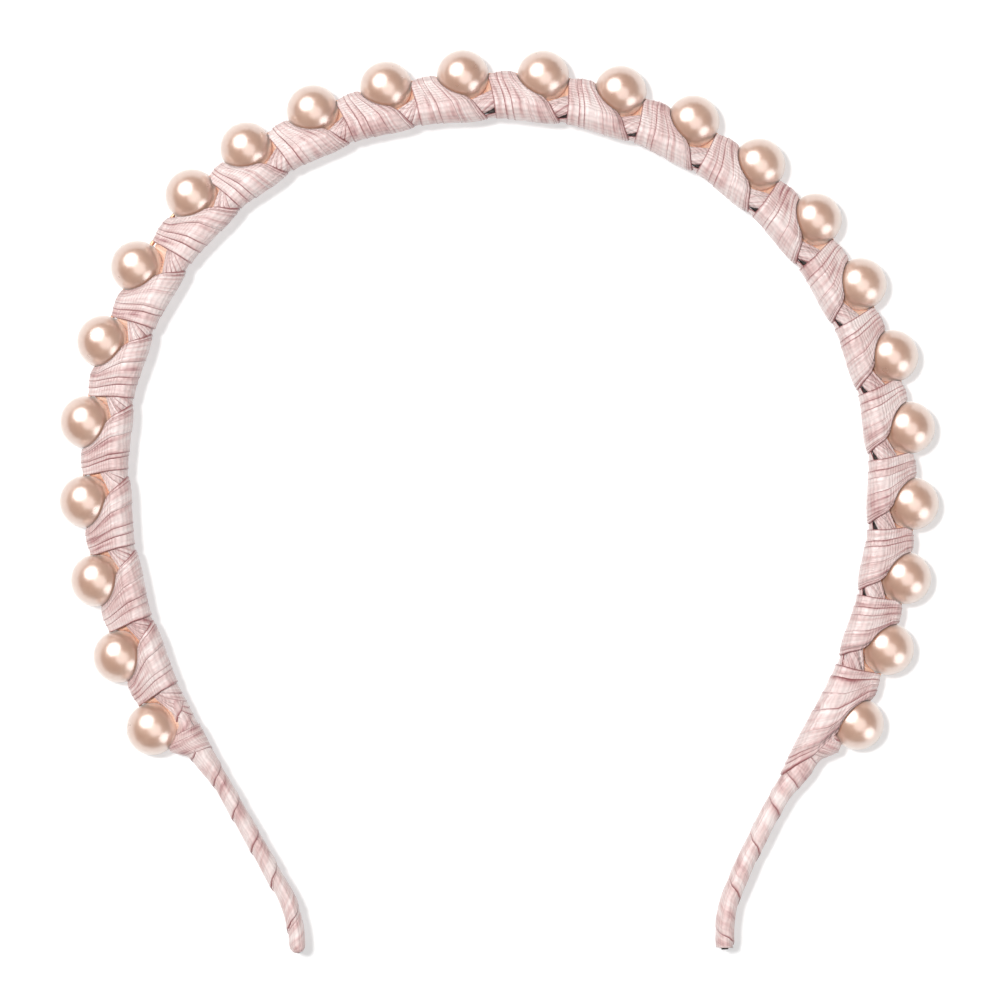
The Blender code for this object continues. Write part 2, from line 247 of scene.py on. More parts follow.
def add_node(tree, kind, settings=None, stops=(), **links):
    """A node with its settings, its (position, RGBA) stops where it is a colour ramp, and its links.

    A link names an input, or gives its number after an i, and holds a socket to join or a value to set.
    """
    node = tree.nodes.new(kind)
    for key, value in (settings or {}).items():
        setattr(node, key, value)
    elements = node.color_ramp.elements if stops else ()
    while len(elements) < len(stops):
        elements.new(1.0)
    for element, (position, colour) in zip(elements, stops):
        element.position = position
        element.color = colour
    for key, value in links.items():
        numbered = key[0] == "i" and key[1:].isdigit()
        socket = node.inputs[int(key[1:]) if numbered else key.replace("_", " ")]
        if isinstance(value, bpy.types.NodeSocket):
            tree.links.new(value, socket)
        else:
            socket.default_value = value
    return node


MULTIPLY = {"operation": "MULTIPLY"}
MULTIPLY_ADD = {"operation": "MULTIPLY_ADD"}
SMOOTH_STEP = {"interpolation_type": "SMOOTHSTEP"}
TINTED = {"data_type": "RGBA", "blend_type": "MULTIPLY"}
MIXED = {"data_type": "RGBA", "blend_type": "MIX"}


def new_material(name):
    """A material by that name, its node tree and its shader."""
    material = bpy.data.materials.new(name)
    material.use_nodes = True
    tree = material.node_tree
    return material, tree, tree.nodes["Principled BSDF"]


def satin_ribbon(name, light, middle, dark):
    """Woven polyester satin: weft ribs across the ribbon, a firm selvedge at both edges, soft broad gloss.

    Its UV runs along the ribbon in millimetres, and across it from -1 to 1.
    """
    material, tree, shader = new_material(name)
    uv = add_node(tree, "ShaderNodeUVMap", {"uv_map": "UVMap"}).outputs["UV"]
    split = add_node(tree, "ShaderNodeSeparateXYZ", i0=uv)
    along, across = split.outputs["X"], split.outputs["Y"]
    place_in_object = add_node(tree, "ShaderNodeTexCoord").outputs["Object"]

    # ribs across the ribbon that wander by about 0.1 mm, a firm selvedge at both edges, and painted shade in
    # the crease along the very edge
    uneven = add_node(tree, "ShaderNodeTexNoise", Vector=place_in_object, Scale=700.0, Detail=2.0)
    wander = add_node(tree, "ShaderNodeMath", MULTIPLY_ADD, i0=uneven.outputs[0], i1=0.5, i2=along)
    ribs_per_mm = MM / RIB_SPACING
    angle = add_node(tree, "ShaderNodeMath", MULTIPLY, i0=wander.outputs[0], i1=2 * math.pi * ribs_per_mm)
    ribs = add_node(tree, "ShaderNodeMath", {"operation": "SINE"}, i0=angle.outputs[0]).outputs[0]
    edge = add_node(tree, "ShaderNodeMath", {"operation": "ABSOLUTE"}, i0=across).outputs[0]
    selvedge = add_node(tree, "ShaderNodeMapRange", SMOOTH_STEP, i0=edge, i1=0.80, i2=0.90, i3=0.0, i4=1.0)
    painted_edge_shade = add_node(tree, "ShaderNodeMapRange", SMOOTH_STEP, i0=edge, i1=0.90, i2=1.0, i3=0.0, i4=1.0)

    # creases run along the ribbon: the noise is stretched that way, some 1.4 mm wide and 8 mm long; in the
    # colour it gives painted shade in the crease valleys and painted sheen on their crests, mixed with random
    # patches
    stretched = add_node(tree, "ShaderNodeMath", MULTIPLY, i0=along, i1=0.13)
    narrowed = add_node(tree, "ShaderNodeMath", MULTIPLY, i0=across, i1=2.2)
    creased = add_node(tree, "ShaderNodeCombineXYZ", i0=stretched.outputs[0], i1=narrowed.outputs[0])
    crease = add_node(
        tree, "ShaderNodeTexNoise", Vector=creased.outputs[0], Scale=1.0, Detail=3.0, Roughness=0.6,
    )
    patches = add_node(tree, "ShaderNodeTexNoise", Vector=place_in_object, Scale=240.0, Detail=3.0)
    patchy = add_node(tree, "ShaderNodeMath", MULTIPLY, i0=patches.outputs[0], i1=0.3)
    tone = add_node(tree, "ShaderNodeMath", MULTIPLY_ADD, i0=crease.outputs[0], i1=0.7, i2=patchy.outputs[0])
    # painted shade and sheen: the dark stop fills the crease valleys, the light one their crests
    stops = ((0.34, linear(dark)), (0.45, linear(middle)), (0.60, linear(light)))
    body = add_node(tree, "ShaderNodeValToRGB", stops=stops, i0=tone.outputs[0])
    shade = add_node(tree, "ShaderNodeMath", MULTIPLY_ADD, i0=ribs, i1=0.06, i2=0.94)
    ribbed = add_node(
        tree, "ShaderNodeMix", TINTED, Factor=1.0, i6=body.outputs["Color"], i7=shade.outputs[0],
    )
    # painted shade: a dark rose band along both edges, where the creases between turns would lie in shadow
    edge_shaded = add_node(
        tree, "ShaderNodeMix", MIXED, i0=painted_edge_shade.outputs[0], i6=ribbed.outputs[2], i7=linear("#9A5556"),
    )
    tree.links.new(edge_shaded.outputs[2], shader.inputs["Base Color"])

    low = add_node(tree, "ShaderNodeMath", MULTIPLY_ADD, i0=ribs, i1=0.075, i2=crease.outputs[0])
    high = add_node(tree, "ShaderNodeMath", MULTIPLY_ADD, i0=selvedge.outputs[0], i1=0.16, i2=low.outputs[0])
    bump = add_node(tree, "ShaderNodeBump", Strength=1.0, Distance=0.30 * MM, Height=high.outputs[0])
    tree.links.new(bump.outputs["Normal"], shader.inputs["Normal"])
    shader.inputs["Roughness"].default_value = 0.30
    shader.inputs["IOR"].default_value = 1.5
    shader.inputs["Specular IOR Level"].default_value = 0.9
    shader.inputs["Sheen Weight"].default_value = 0.2
    shader.inputs["Sheen Roughness"].default_value = 0.4
    shader.inputs["Sheen Tint"].default_value = linear("#FFF0EC")
    return material


def pearl_lacquer(name):
    """Imitation pearl: a glass bead dipped in mica lacquer. The mica shines softly through a peach tint, the
    outer coat mirrors what is around it, and the dips leave faint clouds.
    """
    material, tree, shader = new_material(name)
    place_in_object = add_node(tree, "ShaderNodeTexCoord").outputs["Object"]
    clouds = add_node(tree, "ShaderNodeTexNoise", Vector=place_in_object, Scale=330.0, Detail=3.0)
    stops = ((0.10, linear("#C5835C")), (0.50, linear("#D59873")), (0.90, linear("#E4B291")))
    tint = add_node(tree, "ShaderNodeValToRGB", stops=stops, i0=clouds.outputs[0])
    tree.links.new(tint.outputs["Color"], shader.inputs["Base Color"])
    rough = add_node(tree, "ShaderNodeMapRange", Value=clouds.outputs[0], i3=0.25, i4=0.33)
    tree.links.new(rough.outputs[0], shader.inputs["Coat Roughness"])
    shader.inputs["Metallic"].default_value = 0.1
    shader.inputs["Roughness"].default_value = 0.35
    shader.inputs["Coat Weight"].default_value = 1.0
    shader.inputs["Coat IOR"].default_value = 3.9
    shader.inputs["Sheen Weight"].default_value = 1.0
    shader.inputs["Sheen Roughness"].default_value = 0.6
    shader.inputs["Sheen Tint"].default_value = linear("#E6E8E4")
    return material


def metal(name, dark, light, scale):
    """Drawn or rolled metal: mottled a little lighter and darker, the dark patches rougher."""
    material, tree, shader = new_material(name)
    place_in_object = add_node(tree, "ShaderNodeTexCoord").outputs["Object"]
    mottle = add_node(tree, "ShaderNodeTexNoise", Vector=place_in_object, Scale=scale, Detail=3.0)
    stops = ((0.3, linear(dark)), (0.7, linear(light)))
    tint = add_node(tree, "ShaderNodeValToRGB", stops=stops, i0=mottle.outputs[0])
    tree.links.new(tint.outputs["Color"], shader.inputs["Base Color"])
    rough = add_node(tree, "ShaderNodeMapRange", Value=mottle.outputs[0], i3=0.5, i4=0.3)
    tree.links.new(rough.outputs[0], shader.inputs["Roughness"])
    shader.inputs["Metallic"].default_value = 1.0
    return material


def white_table(name):
    """White translucent acrylic, lit from below as in a light table, so shadows on it stay pale."""
    material, tree, shader = new_material(name)
    place_in_object = add_node(tree, "ShaderNodeTexCoord").outputs["Object"]
    grain = add_node(tree, "ShaderNodeTexNoise", Vector=place_in_object, Scale=500.0, Detail=2.0)
    bump = add_node(tree, "ShaderNodeBump", Strength=0.02, Distance=0.02 * MM, Height=grain.outputs[0])
    tree.links.new(bump.outputs["Normal"], shader.inputs["Normal"])
    shader.inputs["Base Color"].default_value = linear("#C4C4C4")
    shader.inputs["Emission Color"].default_value = linear("#FFFFFF")
    shader.inputs["Emission Strength"].default_value = 0.52
    shader.inputs["Roughness"].default_value = 0.8
    shader.inputs["Specular IOR Level"].default_value = 0.1
    return material


PINK = satin_ribbon("pale_pink_satin", "#F8E6E2", "#E0BCB8", "#A96D6F")
# painted light: the underlay's peach stands in for the glow bounced between each pearl and the ribbon in the
# hollows beside it
PEACH_BOUNCE_LIGHT = satin_ribbon("peach_underlay_painted_bounce_light", "#FBD3BC", "#F6BE9F", "#EBA584")
PEARL = pearl_lacquer("champagne_pearl_lacquer")
# blackened steel, dark as at the tip, and made darker still as painted shade in the slits between turns
STEEL = metal("cold_rolled_spring_steel", "#2C2827", "#4C4644", 1400.0)
# copper colour, also chosen as painted bounce light: the peach glow in the crescent between each pearl and
# the ribbon
WIRE_PEACH_GLOW = metal("copper_bead_wire", "#C98F6E", "#E2AF90", 2600.0)


# ---------------------------------------------------------------- pearls

BORE_RADIUS = 0.6 * MM
BORE_LIP = 0.10 * MM


def drilled_ball(centre, axis_angle, radius, bore, rows=44, columns=64):
    """A turned bead: the sphere's meridian from one mouth of the bore to the other, a small rounded lip at
    each mouth, and the bore's wall back; every point of that outline goes round the axis once.
    """
    first = math.asin((bore + BORE_LIP) / radius)
    angle = np.linspace(first, math.pi - first, rows)
    r, h = radius * np.sin(angle), radius * np.cos(angle)
    turn = np.linspace(0, math.pi / 2, 5)[1:]
    lip_r = bore + BORE_LIP * (1 - np.sin(turn))
    lip_h = h[-1] + BORE_LIP * (1 - np.cos(turn))
    wall_h = np.linspace(lip_h[-1], -lip_h[-1], 8)[1:-1]
    r = np.r_[r, lip_r, np.full(len(wall_h), bore), lip_r[::-1]]
    h = np.r_[h, lip_h, wall_h, -lip_h[::-1]]
    phi = np.linspace(0, 2 * math.pi, columns, endpoint=False)[:, None]
    x, y, z = h + 0 * phi, r * np.cos(phi), r * np.sin(phi)
    cos, sin = math.cos(axis_angle), math.sin(axis_angle)
    points = np.stack([x * cos - y * sin, x * sin + y * cos, z], -1) + centre
    round_axis, along_outline = np.linspace(0, 1, columns + 1), np.linspace(0, 1, len(r) + 1)
    faces, uvs = ring_grid(points, round_axis, along_outline, closed=True)
    return points.reshape(-1, 3), faces[:, ::-1], uvs[:, ::-1]


def body_of(node_name):
    """The body that a CAD node belongs to."""
    bodies = frame["record"]["behaviour"]["bodies"]
    return next(body for body, nodes in bodies.items() if node_name in nodes)


def make_pearls():
    """A ball for each strung pearl, its bore along the wire to within a few degrees."""
    for number in range(1, PEARL_COUNT + 1):
        s = PEARL_S[number - 1]
        out = [np.interp(s, LINE_S, LINE_OUT[:, i]) for i in range(2)]
        axis_angle = math.atan2(out[1], out[0]) - math.pi / 2 + rng.uniform(-0.06, 0.06)
        ball = drilled_ball(PEARLS[number - 1], axis_angle, PEARL_RADIUS, BORE_RADIUS)
        piece = make_piece(f"lacquered_pearl_{number:02d}", *ball, PEARL)
        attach(piece, body_of(f"pearl_{number:02d}"))
        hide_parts(f"pearl_{number:02d}")


# ---------------------------------------------------------------- ribbon

def half_section(section):
    """A section's half outline at even steps of length: v, z, the outward normal's v and z; and its length.

    Straight runs between five corners, the three corners in the middle turned as parabolas.
    """
    corners, reach = np.array(section[0]) * MM, np.array(section[1]) * MM
    t = np.linspace(0, 1, 16)[:, None]
    points = [corners[:1]]
    for i, r in enumerate(reach, 1):
        before = corners[i] + r * unit(corners[i - 1] - corners[i])
        after = corners[i] + r * unit(corners[i + 1] - corners[i])
        points.append((1 - t) ** 2 * before + 2 * t * (1 - t) * corners[i] + t**2 * after)
    points = np.vstack(points + [corners[-1:]])
    length = np.r_[0, np.cumsum(np.linalg.norm(np.diff(points, axis=0), axis=1))]
    even = np.linspace(0, length[-1], SECTION_SAMPLES)
    v, z = (np.interp(even, length, points[:, i]) for i in range(2))
    tangent = np.gradient(np.column_stack([v, z]), even, axis=0)
    tangent /= np.linalg.norm(tangent, axis=1, keepdims=True)
    return np.column_stack([v, z, -tangent[:, 1], tangent[:, 0]]), length[-1]


def blend_sections(t, s, knots):
    """v, z and normal at the share t of the half outline, where the section changes along the line.

    knots are (s, section) in rising s; between two of them the outlines mix in proportion.
    """
    samples = np.linspace(0, 1, SECTION_SAMPLES)
    places = np.array([knot for knot, _ in knots])
    tables = [half_section(section)[0] for _, section in knots]
    values = np.array([[np.interp(t, samples, table[:, i]) for i in range(4)] for table in tables])
    position = np.interp(s, places, np.arange(len(places)))
    index = np.arange(len(places)).reshape(-1, *[1] * np.ndim(s))
    weight = np.clip(1 - np.abs(position[None] - index), 0, 1)
    return (values * weight[:, None]).sum(axis=0)


def half_and_side(share):
    """For a share of the way round a section: the share t of its half outline, and 1 above or -1 below."""
    return 1 - np.abs(2 * share - 1), np.where(share < 0.5, 1.0, -1.0)


GAP_OUTLINE, GAP_LENGTH = half_section(GAP_SECTION)
LAYERS_AT_WIRE = 0.52 * MM  # how far a turn stands out over the wire by its layers alone
WIRE_COVER = max(0.0, WIRE_V + WIRE_RADIUS - LAYERS_AT_WIRE - GAP_SECTION[0][-1][0] * MM)


def ribbon_section(across=11):
    """The ribbon cut across: q from -1 to 1 over its outer face and back under it, and each point's lift.

    Its outer face stands one thickness up, with a rounded ridge for the selvedge at both edges.
    """
    outer = np.sin(np.linspace(-math.pi / 2, math.pi / 2, across))
    ridge = SELVEDGE_RISE * np.exp(-(((np.abs(outer) - 0.93) / 0.05) ** 2))
    q = np.r_[outer, outer[::-1]]
    share_of_thickness = np.where(np.abs(outer) > 0.999, 0.6, 1.0)
    return q, np.r_[share_of_thickness * RIBBON_THICKNESS + ridge, np.zeros(across)]


PEARL_CLEARANCE = 0.04 * MM


def clear_of_pearls(points, lift):
    """Push points that would lie inside a pearl out along its radius, clear of it by their own lift."""
    for centre in PEARLS:
        away = points - centre
        distance = np.linalg.norm(away, axis=-1, keepdims=True)
        wanted = PEARL_RADIUS + PEARL_CLEARANCE + lift[..., None]
        points = np.where(distance < wanted, centre + away / np.maximum(distance, MM) * wanted, points)
    return points


TURN_SEAM = 0.8  # where round the section a turn's pattern starts over: on the underside
PEARL_SWELL = 0.35 * MM  # how far a turn stands out at the inner face beside a pearl
WIRE_DRAW_IN = 0.9 * MM  # how far it is drawn in over the wire there

# How much of its bulk and of its shingle a turn keeps, at these shares of the half outline.
SHARES = (0, 0.15, 0.3, 0.6, 1)
BULK_KEPT = (0.52, 0.62, 0.95, 1.0, 0.48)
SHINGLE_KEPT = (0.08, 0.30, 0.95, 1.0, 0.3)


def gap_turn(foot, top, knees, base, height, shingle, bow, around=84):
    """One closed turn of ribbon round core and wire between two pearls.

    foot and top are the s of the ribbon's two edges on the inner face and on the wire. Seen from above, an
    edge runs straight from foot, at the inner face, to top at its knee's v, and on up from there.
    base is how far the turns below bulk it out, drawn in at the inner face and on the wire, and height is its
    own place among its neighbours. shingle is how much higher its first edge lies than its second, and bow
    how far it arches between its edges.
    """
    q, lift = ribbon_section()
    t, side = half_and_side((np.linspace(0, 1, around, endpoint=False)[:, None] + TURN_SEAM) % 1)
    samples = np.linspace(0, 1, len(GAP_OUTLINE))
    v, z, nv, nz = (np.interp(t, samples, GAP_OUTLINE[:, i]) for i in range(4))
    lowest = GAP_OUTLINE[0, 0]
    first, second = (
        foot[edge] + (top[edge] - foot[edge]) * np.clip((v - lowest) / (knees[edge] * MM - lowest), 0, 1)
        for edge in (0, 1)
    )
    s = (first + second) / 2 + q * (second - first) / 2
    bulk = (base + bow * (1 - q * q)) * np.interp(t, SHARES, BULK_KEPT)
    overlap = np.interp(t, SHARES, SHINGLE_KEPT) * shingle * (1 - q) / 2
    beside_pearl = np.cos(math.pi * np.interp(s, PEARL_S, np.arange(PEARL_COUNT))) ** 2
    swell = PEARL_SWELL * beside_pearl * np.interp(t, (0, 0.3), (1, 0))
    over_wire = (WIRE_COVER - WIRE_DRAW_IN * beside_pearl) * np.interp(t, (0.8, 0.93), (0, 1))
    stack = bulk + height + overlap + lift + swell + over_wire
    points = place(s, v + stack * nv, side * (z + stack * nz))
    points = clear_of_pearls(points, 0.25 * stack)
    along = np.linspace(0, 2 * GAP_LENGTH / MM, around + 1) + rng.uniform(0, 50)
    faces, uvs = ring_grid(points, along, np.r_[q, q[0]], closed=True)
    return points.reshape(-1, 3), faces, uvs


def hold_ribbon(piece, number):
    """Ribbon beside a hinge pearl is tied to no body and stays where it lies; any other rides on its own
    body.
    """
    hinge = next((pearl for pearl in (number, number + 1) if pearl in BODY_OF_HINGE_PEARL), None)
    if hinge is None:
        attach(piece, body_of(f"ribbon_turns_{number:02d}"))
    else:
        bend_at_hinge(piece, hinge)


def bend_at_hinge(piece, hinge):
    """Bake a piece's place near a hinge pearl into its mesh; it is tied to neither body."""
    s = PEARL_S[hinge - 1]
    start, end = (place(s + step, 0.0, 0.0) for step in (-HINGE_REACH, HINGE_REACH))
    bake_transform(piece)


# Each turn, lowest first: foot edges in pitches from the gap's middle, top edges in shares of the room
# there, and the v in millimetres at which each edge's straight run ends.
OVER_KNEES = (4.9, 4.9)
UNDER_KNEES = (3.1, 3.1)
SLIT_KNEES = (3.1, 1.5)
OVER_TURNS = (
    ((-0.11, 0.52), (-1.0, 0.2), OVER_KNEES),
    ((0.06, 0.80), (-0.45, 1.0), OVER_KNEES),
    ((0.15, 0.765), (-0.1, 0.95), OVER_KNEES),
    ((0.42, 0.73), (0.45, 0.9), OVER_KNEES),
)
UNDER_TURNS = (
    ((-0.80, -0.35), (-0.45, 0.3), UNDER_KNEES),
    ((-0.60, -0.10), (-0.38, 0.5), UNDER_KNEES),
    ((-0.47, -0.04), (-0.25, 0.7), UNDER_KNEES),
    ((-0.38, 0.02), (-0.2, 0.8), UNDER_KNEES),
    ((-0.28, 0.08), (-0.1, 0.9), UNDER_KNEES),
)
SLIT_UNDER_TURNS = (
    ((-0.80, -0.38), (-0.45, 0.3), SLIT_KNEES),
    ((-0.60, -0.31), (-0.38, 0.5), SLIT_KNEES),
    ((-0.52, -0.30), (-0.25, 0.7), SLIT_KNEES),
    ((-0.45, -0.30), (-0.2, 0.8), SLIT_KNEES),
    ((-0.36, 0.12), (-0.1, 0.9), (-0.05, -0.05)),  # closes the inner face below the slit
)
LAST_OVER_TURNS = (
    ((-0.11, 0.70), (-1.0, 0.1), OVER_KNEES),
    ((0.05, 1.55), (-0.65, 1.0), OVER_KNEES),
    ((0.30, 1.43), (-0.3, 0.93), OVER_KNEES),
    ((0.60, 1.33), (0.1, 0.86), OVER_KNEES),
    ((0.95, 1.22), (0.45, 0.8), OVER_KNEES),
)
SLIT_FROM_GAP = 12  # the right half is wound more loosely: a slit at its inner edge bares the core's edge, its darkened steel partly painted shade
ROOM_AT_TOP = 2.0 * MM
OVER_BASE = 0.72 * MM  # how far the under layer bulks out the over layer
TURN_STEP = 0.07 * MM  # how much higher each turn lies than the one before it


def make_gap_ribbon(number):
    """The turns between two pearls: an under layer that leans back to the left tip, and one over it that
    leans on to the right.
    """
    here, there = PEARL_S[number - 1], PEARL_S[number]
    middle, pitch = (here + there) / 2, there - here
    grids = []
    over = LAST_OVER_TURNS if number == PEARL_COUNT - 1 else OVER_TURNS
    under = SLIT_UNDER_TURNS if number >= SLIT_FROM_GAP else UNDER_TURNS
    for turns, base in ((under, 0.0), (over, OVER_BASE)):
        for order, (foot, top, knees) in enumerate(turns):
            foot_edges = middle + pitch * (np.array(foot) + rng.uniform(-0.05, 0.05, 2) * (0.5, 0.3))
            top_edges = middle + ROOM_AT_TOP * (np.array(top) + rng.uniform(-0.07, 0.07, 2))
            shingle, bow = rng.uniform(0.12, 0.26) * MM, rng.uniform(0.02, 0.14) * MM
            grids.append(gap_turn(foot_edges, top_edges, knees, base, order * TURN_STEP, shingle, bow))
    piece = make_piece(f"wound_ribbon_{number:02d}", *join_grids(grids), PINK)
    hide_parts(f"ribbon_turns_{number:02d}")
    hold_ribbon(piece, number)


# ---------------------------------------------------------------- the first winding

TUBE_COLUMNS = 48
TUBE_PATTERN = np.linspace(-0.7, 0.7, TUBE_COLUMNS + 1)  # across the ribbon, but clear of the painted edge shade
BELOW_WIRE = 0.6 * MM  # the first winding ends this far below the wire's middle between two pearls
SLEEVE_OVERRUN = 2 * MM  # how far it goes on past the first and the last pearl


def under_pearl_top(s):
    """The v that the first winding reaches: a pearl's underside, or just below the wire between pearls."""
    on_wire = place(s, WIRE_V, 0.0)
    from_pearl = np.linalg.norm(on_wire[:, None] - PEARLS[None], axis=2).min(axis=1)
    return WIRE_V - np.sqrt(np.maximum(PEARL_RADIUS**2 - from_pearl**2, BELOW_WIRE**2))


def make_sleeve(name, start, end):
    """The first winding, seen only in the hollows beside the pearls. Its inner part is a bar just inside the
    core's faces; from there each side rises to a saddle between the pearls, following their undersides.
    """
    step = 0.25 * MM
    inside_core, inside_width, narrow, full_depth = 0.42 * MM, 2.42 * MM, 0.8 * MM, 2 * MM
    bar, crest = 0.42, 0.8  # shares of the half outline where the bar ends and where the top begins
    rows = max(8, int((end - start) / step))
    s = np.linspace(start, end, rows)
    top = under_pearl_top(s)[:, None]
    t, side = half_and_side(np.linspace(0, 1, TUBE_COLUMNS, endpoint=False)[None, :])
    fullness = np.clip((WIRE_V - 0.3 * MM - top) / full_depth, 0, 1)
    up = np.clip((t - bar) / 0.38, 0, 1)
    v = np.interp(t, (0, 0.3, bar), (-inside_core, -inside_core, inside_core))
    v = v + up ** (1 - 0.4 * fullness) * (np.maximum(top, 2.5 * MM) - inside_core)
    z = np.interp(t, (0, 0.28, 0.34, bar), (0, 2.2 * MM, 2.38 * MM, inside_width))
    z = np.where(t < bar, z, inside_width - (inside_width - narrow) * up ** (1 + fullness))
    z = np.where(t > crest, narrow * (1 - t) / (1 - crest), z)
    points = clear_of_pearls(place(s[:, None], v, side * z), -0.03 * MM + 0 * v)
    faces, uvs = ring_grid(points, np.arange(rows) * step / MM, TUBE_PATTERN, closed=False)
    # its peach is painted bounce light between pearl and ribbon
    return make_piece(name, points.reshape(-1, 3), faces[:, ::-1], uvs[:, ::-1], PEACH_BOUNCE_LIGHT)


def make_sleeves():
    """Sleeve lengths that ride on one body, and short ones, tied to no body, where two bodies meet."""
    edges = [PEARL_S[0] - SLEEVE_OVERRUN]
    holders = []
    for pearl, pair in BODY_OF_HINGE_PEARL.items():
        edges += [PEARL_S[pearl - 1] - HINGE_REACH, PEARL_S[pearl - 1] + HINGE_REACH]
        holders += [pair[0], pearl]
    edges.append(PEARL_S[-1] + SLEEVE_OVERRUN)
    holders.append("right_leg")
    for i, holder in enumerate(holders):
        sleeve = make_sleeve(f"inner_winding_{i + 1}", edges[i], edges[i + 1])
        if isinstance(holder, int):
            bend_at_hinge(sleeve, holder)
        else:
            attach(sleeve, holder)


# ---------------------------------------------------------------- legs

END_WIDTH = 0.8  # a drawn-in end keeps this much of the leg's width
END_LENGTH = 1.4 * MM  # over this length a leg is drawn in towards its tip
MM_OF_RIBBON_PER_TURN = 15.0


def end_rounding(from_tip, closed):
    """How much of the section is left at a distance from the tip: a quarter circle to a closed end, or a
    slight drawing in at an open one.
    """
    share = np.clip(from_tip / END_LENGTH, 0, 1)
    if closed:
        return np.sqrt(1 - (1 - share) ** 2) * 0.998 + 0.002
    return 1 - 0.12 * (1 - share) ** 2


def leg_winding(start, tip, knots, edges, width, lean, height, flare, bow, closed, phase):
    """A ribbon wound down a leg as one open spiral strip, closed at its two ends.

    edges are the distances from start at which its middle crosses the inner face, turn after turn. Over each
    narrow side it moves on by the share lean of the step, over the flat sides by the rest. Near the tip its
    path is pressed together so that it never passes it. The edge towards the tip lies higher than the other
    by flare, and the strip arches by bow between them. phase is where on the ribbon its pattern starts.
    """
    q, lift = ribbon_section()
    sign = 1.0 if tip > start else -1.0
    turns = len(edges) - 1
    rows_per_turn = 72
    rows = turns * rows_per_turn + 1
    turn = np.linspace(0, turns, rows)[:, None]
    whole = np.minimum(np.floor(turn).astype(int), turns - 1)
    part = turn - whole
    t, side = half_and_side(part)
    flat = 0.5 - lean
    moved = np.interp(
        part, (0, 0.17, 0.33, 0.67, 0.83, 1.0),
        (0, flat / 2, flat / 2 + lean, 1.5 * flat + lean, 1.5 * flat + 2 * lean, 1.0),
    )
    edges = np.asarray(edges)
    middle = edges[whole] + (edges[whole + 1] - edges[whole]) * moved
    room = abs(tip - start) - (middle + q * width / 2)
    softness = 1.2 * MM
    room = (room + np.sqrt(room**2 + softness**2)) / 2
    s = tip - sign * room
    v, z, nv, nz = blend_sections(t + 0 * s, s, knots)
    keep = end_rounding(room, closed)
    stack = (height + flare * ((1 + q) / 2) ** 2 + bow * (1 - q * q) + lift) * keep
    across = END_WIDTH + (1 - END_WIDTH) * keep
    points = place(s, v * keep + stack * nv, side * (z * across + stack * nz))
    points = clear_of_pearls(points, 0.5 * stack)
    along = turn[:, 0] * MM_OF_RIBBON_PER_TURN + phase
    faces, uvs = ring_grid(points, along, np.r_[q, q[0]], closed=False)
    caps, cap_uvs = end_caps(rows, len(q), q)
    faces, uvs = np.vstack([faces, caps]), np.vstack([uvs, cap_uvs])
    if sign < 0:
        faces, uvs = faces[:, ::-1], uvs[:, ::-1]
    return points.reshape(-1, 3), faces, uvs


def leg_core_cover(start, tip, knots, closed):
    """What shows between a leg's turns: a tube along it, its rows closer together towards the tip."""
    rows = 90
    s = start + (tip - start) * np.sin(np.linspace(0, math.pi / 2, rows))[:, None]
    t, side = half_and_side(np.linspace(0, 1, TUBE_COLUMNS, endpoint=False)[None, :])
    t = t + 0 * s
    v, z, _, _ = blend_sections(t, s + 0 * t, knots)
    keep = end_rounding(np.abs(tip - s), closed)
    across = END_WIDTH + (1 - END_WIDTH) * keep
    points = clear_of_pearls(place(s, v * keep, side * z * across), 0 * v)
    faces, uvs = ring_grid(points, np.linspace(0, 40, rows), TUBE_PATTERN, closed=False)
    if tip < start:
        faces, uvs = faces[:, ::-1], uvs[:, ::-1]
    return points.reshape(-1, 3), faces[:, ::-1], uvs[:, ::-1]


def cuff_turn(foot, top, knots, height, around=84):
    """One closed turn of ribbon beside the outermost pearl: its edges run evenly from foot to top round the
    section, and the second lies a little higher than the first.
    """
    q, lift = ribbon_section()
    t, side = half_and_side((np.linspace(0, 1, around, endpoint=False)[:, None] + TURN_SEAM) % 1)
    first = foot[0] + (top[0] - foot[0]) * t
    second = foot[1] + (top[1] - foot[1]) * t
    s = (first + second) / 2 + q * (second - first) / 2
    v, z, nv, nz = blend_sections(t + 0 * s, s, knots)
    flare = 0.15 * MM
    stack = height + flare * (1 + q) / 2 + lift
    points = clear_of_pearls(place(s, v + stack * nv, side * (z + stack * nz)), 0.5 * stack)
    along = np.linspace(0, 20, around + 1) + rng.uniform(0, 50)
    faces, uvs = ring_grid(points, along, np.r_[q, q[0]], closed=True)
    return points.reshape(-1, 3), faces, uvs


